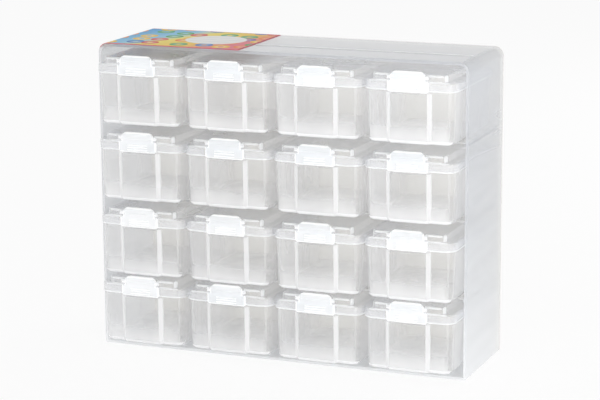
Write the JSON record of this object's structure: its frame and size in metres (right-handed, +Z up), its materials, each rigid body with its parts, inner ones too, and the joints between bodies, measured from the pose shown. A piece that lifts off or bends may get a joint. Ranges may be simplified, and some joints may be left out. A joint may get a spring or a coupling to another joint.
{
  "type": "bead storage box",
  "caption": "Upright open-front case of translucent plastic with shelves, filled by rows of small pull-out boxes, each with a hinged lid and a swinging front clasp.",
  "frame": {"origin": "middle of the case's flat underside", "axes": "+Z up, the open front faces -Y, +X to the right of a person who faces the front"},
  "size_m": [0.27, 0.098, 0.2165],
  "materials": {
    "case_plastic": "clear, slightly frosted polypropylene",
    "shelf_plastic": "clear, slightly frosted polypropylene",
    "tub_plastic": "translucent polypropylene",
    "lid_plastic": "translucent polypropylene",
    "clasp_plastic": "frosted polypropylene",
    "label_print": "glossy printed label"
  },
  "bodies": {
    "case": {"case_shell": "case_plastic", "shelf_1": "shelf_plastic", "shelf_2": "shelf_plastic", "shelf_3": "shelf_plastic", "top_label": "label_print"},
    "box_r2c2": {"tub_r2c2": "tub_plastic"},
    "lid_r2c2": {"lid_r2c2": "lid_plastic"},
    "clasp_r2c2": {"clasp_r2c2": "clasp_plastic"},
    "box_r1c4": {"tub_r1c4": "tub_plastic"},
    "lid_r1c4": {"lid_r1c4": "lid_plastic"},
    "clasp_r1c4": {"clasp_r1c4": "clasp_plastic"},
    "box_r4c1": {"tub_r4c1": "tub_plastic"},
    "lid_r4c1": {"lid_r4c1": "lid_plastic"},
    "clasp_r4c1": {"clasp_r4c1": "clasp_plastic"},
    "box_r3c3": {"tub_r3c3": "tub_plastic"},
    "lid_r3c3": {"lid_r3c3": "lid_plastic"},
    "clasp_r3c3": {"clasp_r3c3": "clasp_plastic"},
    "box_r1c1": {"tub_r1c1": "tub_plastic"},
    "lid_r1c1": {"lid_r1c1": "lid_plastic"},
    "clasp_r1c1": {"clasp_r1c1": "clasp_plastic"},
    "box_r1c2": {"tub_r1c2": "tub_plastic"},
    "lid_r1c2": {"lid_r1c2": "lid_plastic"},
    "clasp_r1c2": {"clasp_r1c2": "clasp_plastic"},
    "box_r1c3": {"tub_r1c3": "tub_plastic"},
    "lid_r1c3": {"lid_r1c3": "lid_plastic"},
    "clasp_r1c3": {"clasp_r1c3": "clasp_plastic"},
    "box_r2c1": {"tub_r2c1": "tub_plastic"},
    "lid_r2c1": {"lid_r2c1": "lid_plastic"},
    "clasp_r2c1": {"clasp_r2c1": "clasp_plastic"},
    "box_r2c3": {"tub_r2c3": "tub_plastic"},
    "lid_r2c3": {"lid_r2c3": "lid_plastic"},
    "clasp_r2c3": {"clasp_r2c3": "clasp_plastic"},
    "box_r2c4": {"tub_r2c4": "tub_plastic"},
    "lid_r2c4": {"lid_r2c4": "lid_plastic"},
    "clasp_r2c4": {"clasp_r2c4": "clasp_plastic"},
    "box_r3c1": {"tub_r3c1": "tub_plastic"},
    "lid_r3c1": {"lid_r3c1": "lid_plastic"},
    "clasp_r3c1": {"clasp_r3c1": "clasp_plastic"},
    "box_r3c2": {"tub_r3c2": "tub_plastic"},
    "lid_r3c2": {"lid_r3c2": "lid_plastic"},
    "clasp_r3c2": {"clasp_r3c2": "clasp_plastic"},
    "box_r3c4": {"tub_r3c4": "tub_plastic"},
    "lid_r3c4": {"lid_r3c4": "lid_plastic"},
    "clasp_r3c4": {"clasp_r3c4": "clasp_plastic"},
    "box_r4c2": {"tub_r4c2": "tub_plastic"},
    "lid_r4c2": {"lid_r4c2": "lid_plastic"},
    "clasp_r4c2": {"clasp_r4c2": "clasp_plastic"},
    "box_r4c3": {"tub_r4c3": "tub_plastic"},
    "lid_r4c3": {"lid_r4c3": "lid_plastic"},
    "clasp_r4c3": {"clasp_r4c3": "clasp_plastic"},
    "box_r4c4": {"tub_r4c4": "tub_plastic"},
    "lid_r4c4": {"lid_r4c4": "lid_plastic"},
    "clasp_r4c4": {"clasp_r4c4": "clasp_plastic"}
  },
  "joints": [
    {"name": "box_r2c2_slide", "type": "slide", "parent": "case", "child": "box_r2c2", "axis": [0, -1, 0], "range_m": [0, 0.1]},
    {"name": "lid_r2c2_hinge", "type": "hinge", "parent": "box_r2c2", "child": "lid_r2c2", "pos_m": [-0.0328, 0.0342, 0.1446], "axis": [-1, 0, 0], "range_deg": [0, 3.3]},
    {"name": "clasp_r2c2_hinge", "type": "hinge", "parent": "lid_r2c2", "child": "clasp_r2c2", "pos_m": [-0.0328, -0.05615, 0.1534], "axis": [-1, 0, 0], "range_deg": [0, 95]},
    {"name": "box_r1c4_slide", "type": "slide", "parent": "case", "child": "box_r1c4", "axis": [0, -1, 0], "range_m": [0, 0.1]},
    {"name": "lid_r1c4_hinge", "type": "hinge", "parent": "box_r1c4", "child": "lid_r1c4", "pos_m": [0.0984, 0.0342, 0.1979], "axis": [-1, 0, 0], "range_deg": [0, 3.3]},
    {"name": "clasp_r1c4_hinge", "type": "hinge", "parent": "lid_r1c4", "child": "clasp_r1c4", "pos_m": [0.0984, -0.05615, 0.2067], "axis": [-1, 0, 0], "range_deg": [0, 95]},
    {"name": "box_r4c1_slide", "type": "slide", "parent": "case", "child": "box_r4c1", "axis": [0, -1, 0], "range_m": [0, 0.1]},
    {"name": "lid_r4c1_hinge", "type": "hinge", "parent": "box_r4c1", "child": "lid_r4c1", "pos_m": [-0.0984, 0.0342, 0.042], "axis": [-1, 0, 0], "range_deg": [0, 0.9]},
    {"name": "clasp_r4c1_hinge", "type": "hinge", "parent": "lid_r4c1", "child": "clasp_r4c1", "pos_m": [-0.0984, -0.05615, 0.0508], "axis": [-1, 0, 0], "range_deg": [0, 95]},
    {"name": "box_r3c3_slide", "type": "slide", "parent": "case", "child": "box_r3c3", "axis": [0, -1, 0], "range_m": [0, 0.1]},
    {"name": "lid_r3c3_hinge", "type": "hinge", "parent": "box_r3c3", "child": "lid_r3c3", "pos_m": [0.0328, 0.0342, 0.0913], "axis": [-1, 0, 0], "range_deg": [0, 3.3]},
    {"name": "clasp_r3c3_hinge", "type": "hinge", "parent": "lid_r3c3", "child": "clasp_r3c3", "pos_m": [0.0328, -0.05615, 0.1001], "axis": [-1, 0, 0], "range_deg": [0, 95]},
    {"name": "box_r1c1_slide", "type": "slide", "parent": "case", "child": "box_r1c1", "axis": [0, -1, 0], "range_m": [0, 0.1]},
    {"name": "lid_r1c1_hinge", "type": "hinge", "parent": "box_r1c1", "child": "lid_r1c1", "pos_m": [-0.0984, 0.0342, 0.1979], "axis": [-1, 0, 0], "range_deg": [0, 3.3]},
    {"name": "clasp_r1c1_hinge", "type": "hinge", "parent": "lid_r1c1", "child": "clasp_r1c1", "pos_m": [-0.0984, -0.05615, 0.2067], "axis": [-1, 0, 0], "range_deg": [0, 95]},
    {"name": "box_r1c2_slide", "type": "slide", "parent": "case", "child": "box_r1c2", "axis": [0, -1, 0], "range_m": [0, 0.1]},
    {"name": "lid_r1c2_hinge", "type": "hinge", "parent": "box_r1c2", "child": "lid_r1c2", "pos_m": [-0.0328, 0.0342, 0.1979], "axis": [-1, 0, 0], "range_deg": [0, 3.3]},
    {"name": "clasp_r1c2_hinge", "type": "hinge", "parent": "lid_r1c2", "child": "clasp_r1c2", "pos_m": [-0.0328, -0.05615, 0.2067], "axis": [-1, 0, 0], "range_deg": [0, 95]},
    {"name": "box_r1c3_slide", "type": "slide", "parent": "case", "child": "box_r1c3", "axis": [0, -1, 0], "range_m": [0, 0.1]},
    {"name": "lid_r1c3_hinge", "type": "hinge", "parent": "box_r1c3", "child": "lid_r1c3", "pos_m": [0.0328, 0.0342, 0.1979], "axis": [-1, 0, 0], "range_deg": [0, 3.3]},
    {"name": "clasp_r1c3_hinge", "type": "hinge", "parent": "lid_r1c3", "child": "clasp_r1c3", "pos_m": [0.0328, -0.05615, 0.2067], "axis": [-1, 0, 0], "range_deg": [0, 95]},
    {"name": "box_r2c1_slide", "type": "slide", "parent": "case", "child": "box_r2c1", "axis": [0, -1, 0], "range_m": [0, 0.1]},
    {"name": "lid_r2c1_hinge", "type": "hinge", "parent": "box_r2c1", "child": "lid_r2c1", "pos_m": [-0.0984, 0.0342, 0.1446], "axis": [-1, 0, 0], "range_deg": [0, 3.3]},
    {"name": "clasp_r2c1_hinge", "type": "hinge", "parent": "lid_r2c1", "child": "clasp_r2c1", "pos_m": [-0.0984, -0.05615, 0.1534], "axis": [-1, 0, 0], "range_deg": [0, 95]},
    {"name": "box_r2c3_slide", "type": "slide", "parent": "case", "child": "box_r2c3", "axis": [0, -1, 0], "range_m": [0, 0.1]},
    {"name": "lid_r2c3_hinge", "type": "hinge", "parent": "box_r2c3", "child": "lid_r2c3", "pos_m": [0.0328, 0.0342, 0.1446], "axis": [-1, 0, 0], "range_deg": [0, 3.3]},
    {"name": "clasp_r2c3_hinge", "type": "hinge", "parent": "lid_r2c3", "child": "clasp_r2c3", "pos_m": [0.0328, -0.05615, 0.1534], "axis": [-1, 0, 0], "range_deg": [0, 95]},
    {"name": "box_r2c4_slide", "type": "slide", "parent": "case", "child": "box_r2c4", "axis": [0, -1, 0], "range_m": [0, 0.1]},
    {"name": "lid_r2c4_hinge", "type": "hinge", "parent": "box_r2c4", "child": "lid_r2c4", "pos_m": [0.0984, 0.0342, 0.1446], "axis": [-1, 0, 0], "range_deg": [0, 3.3]},
    {"name": "clasp_r2c4_hinge", "type": "hinge", "parent": "lid_r2c4", "child": "clasp_r2c4", "pos_m": [0.0984, -0.05615, 0.1534], "axis": [-1, 0, 0], "range_deg": [0, 95]},
    {"name": "box_r3c1_slide", "type": "slide", "parent": "case", "child": "box_r3c1", "axis": [0, -1, 0], "range_m": [0, 0.1]},
    {"name": "lid_r3c1_hinge", "type": "hinge", "parent": "box_r3c1", "child": "lid_r3c1", "pos_m": [-0.0984, 0.0342, 0.0913], "axis": [-1, 0, 0], "range_deg": [0, 3.3]},
    {"name": "clasp_r3c1_hinge", "type": "hinge", "parent": "lid_r3c1", "child": "clasp_r3c1", "pos_m": [-0.0984, -0.05615, 0.1001], "axis": [-1, 0, 0], "range_deg": [0, 95]},
    {"name": "box_r3c2_slide", "type": "slide", "parent": "case", "child": "box_r3c2", "axis": [0, -1, 0], "range_m": [0, 0.1]},
    {"name": "lid_r3c2_hinge", "type": "hinge", "parent": "box_r3c2", "child": "lid_r3c2", "pos_m": [-0.0328, 0.0342, 0.0913], "axis": [-1, 0, 0], "range_deg": [0, 3.3]},
    {"name": "clasp_r3c2_hinge", "type": "hinge", "parent": "lid_r3c2", "child": "clasp_r3c2", "pos_m": [-0.0328, -0.05615, 0.1001], "axis": [-1, 0, 0], "range_deg": [0, 95]},
    {"name": "box_r3c4_slide", "type": "slide", "parent": "case", "child": "box_r3c4", "axis": [0, -1, 0], "range_m": [0, 0.1]},
    {"name": "lid_r3c4_hinge", "type": "hinge", "parent": "box_r3c4", "child": "lid_r3c4", "pos_m": [0.0984, 0.0342, 0.0913], "axis": [-1, 0, 0], "range_deg": [0, 3.3]},
    {"name": "clasp_r3c4_hinge", "type": "hinge", "parent": "lid_r3c4", "child": "clasp_r3c4", "pos_m": [0.0984, -0.05615, 0.1001], "axis": [-1, 0, 0], "range_deg": [0, 95]},
    {"name": "box_r4c2_slide", "type": "slide", "parent": "case", "child": "box_r4c2", "axis": [0, -1, 0], "range_m": [0, 0.1]},
    {"name": "lid_r4c2_hinge", "type": "hinge", "parent": "box_r4c2", "child": "lid_r4c2", "pos_m": [-0.0328, 0.0342, 0.042], "axis": [-1, 0, 0], "range_deg": [0, 0.9]},
    {"name": "clasp_r4c2_hinge", "type": "hinge", "parent": "lid_r4c2", "child": "clasp_r4c2", "pos_m": [-0.0328, -0.05615, 0.0508], "axis": [-1, 0, 0], "range_deg": [0, 95]},
    {"name": "box_r4c3_slide", "type": "slide", "parent": "case", "child": "box_r4c3", "axis": [0, -1, 0], "range_m": [0, 0.1]},
    {"name": "lid_r4c3_hinge", "type": "hinge", "parent": "box_r4c3", "child": "lid_r4c3", "pos_m": [0.0328, 0.0342, 0.042], "axis": [-1, 0, 0], "range_deg": [0, 0.9]},
    {"name": "clasp_r4c3_hinge", "type": "hinge", "parent": "lid_r4c3", "child": "clasp_r4c3", "pos_m": [0.0328, -0.05615, 0.0508], "axis": [-1, 0, 0], "range_deg": [0, 95]},
    {"name": "box_r4c4_slide", "type": "slide", "parent": "case", "child": "box_r4c4", "axis": [0, -1, 0], "range_m": [0, 0.1]},
    {"name": "lid_r4c4_hinge", "type": "hinge", "parent": "box_r4c4", "child": "lid_r4c4", "pos_m": [0.0984, 0.0342, 0.042], "axis": [-1, 0, 0], "range_deg": [0, 0.9]},
    {"name": "clasp_r4c4_hinge", "type": "hinge", "parent": "lid_r4c4", "child": "clasp_r4c4", "pos_m": [0.0984, -0.05615, 0.0508], "axis": [-1, 0, 0], "range_deg": [0, 95]}
  ]
}
